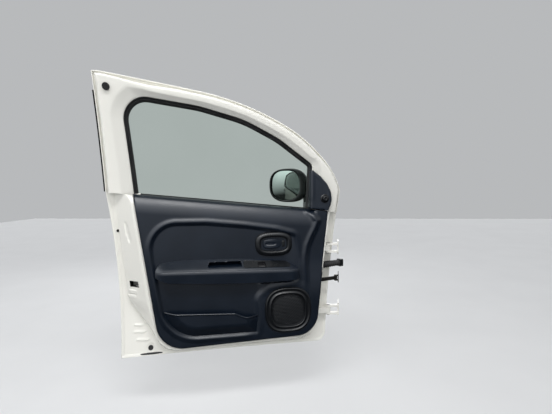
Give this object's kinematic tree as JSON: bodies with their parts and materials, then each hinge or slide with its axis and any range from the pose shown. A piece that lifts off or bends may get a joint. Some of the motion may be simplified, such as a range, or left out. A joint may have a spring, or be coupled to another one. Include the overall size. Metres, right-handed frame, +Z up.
{
  "type": "car door",
  "caption": "Front left door of a small car, with framed window, moulded inner trim, outside mirror, latch and the hinges that bolt to the pillar. It stands open.",
  "frame": {"origin": "centre of the four bolt holes by which the two hinges are fastened to the car's front pillar, in the plane where their body leaves bear on it", "axes": "+X to the rear of the car, +Y inboard, +Z up; the door is stored open by 70 degrees, and the hinge axis is parallel to Z"},
  "size_m": [0.6315, 0.9686, 1.155],
  "materials": {
    "body_paint": "gloss",
    "trim_plastic": "grained",
    "black_plastic": "satin",
    "gloss_black": "gloss",
    "seal_rubber": "matt",
    "tinted_glass": "clear, slightly green",
    "mirror_silver": "polished",
    "bright_steel": "zinc plated",
    "dark_steel": "phosphated, oiled"
  },
  "bodies": {
    "pillar_side": {"upper_body_leaf": "body_paint", "lower_body_leaf": "body_paint", "upper_hinge_pin": "bright_steel", "lower_hinge_pin": "bright_steel", "check_bracket": "dark_steel", "check_pin": "bright_steel"},
    "check_strap": {"check_arm": "dark_steel"},
    "door": {"outer_skin": "body_paint", "inner_panel": "body_paint", "frame_header": "body_paint", "frame_rear_upright": "body_paint", "frame_front_leg": "body_paint", "pillar_applique": "gloss_black", "window_glass": "tinted_glass", "glass_run_seal": "seal_rubber", "outer_belt_seal": "seal_rubber", "inner_belt_seal": "seal_rubber", "upper_door_leaf": "body_paint", "lower_door_leaf": "body_paint", "check_guide": "dark_steel", "wiring_gaiter": "seal_rubber", "wiring_plug": "black_plastic", "latch_case": "dark_steel", "latch_claw": "bright_steel", "door_trim": "trim_plastic", "armrest": "trim_plastic", "switch_plate": "black_plastic", "window_switch": "gloss_black", "map_pocket": "trim_plastic", "speaker_grille": "black_plastic", "handle_bezel": "black_plastic", "release_lever": "trim_plastic", "lock_slider": "black_plastic", "sail_cover": "trim_plastic", "mirror_knob": "black_plastic", "frame_stop": "seal_rubber", "outer_handle": "black_plastic", "handle_end": "black_plastic", "lock_cylinder": "bright_steel", "mirror_base": "black_plastic"},
    "mirror_head": {"mirror_housing": "black_plastic", "mirror_glass": "mirror_silver"}
  },
  "joints": [
    {"name": "door_swing", "type": "hinge", "parent": "pillar_side", "child": "door", "pos_m": [0.05, -0.048, 0], "axis": [0, 0, 1], "range_deg": [0, 70]},
    {"name": "check_pivot", "type": "hinge", "parent": "pillar_side", "child": "check_strap", "pos_m": [0.045, -0.013, 0.0045], "axis": [0, 0, 1], "range_deg": [0, 49.3]},
    {"name": "mirror_fold", "type": "hinge", "parent": "door", "child": "mirror_head", "pos_m": [0.00082, -0.14678, 0.3475], "axis": [0, 0, 1], "range_deg": [-75, 25]}
  ],
  "couplings": [
    {"joint": "check_pivot", "follows": "door_swing", "ratio": 0.703}
  ]
}
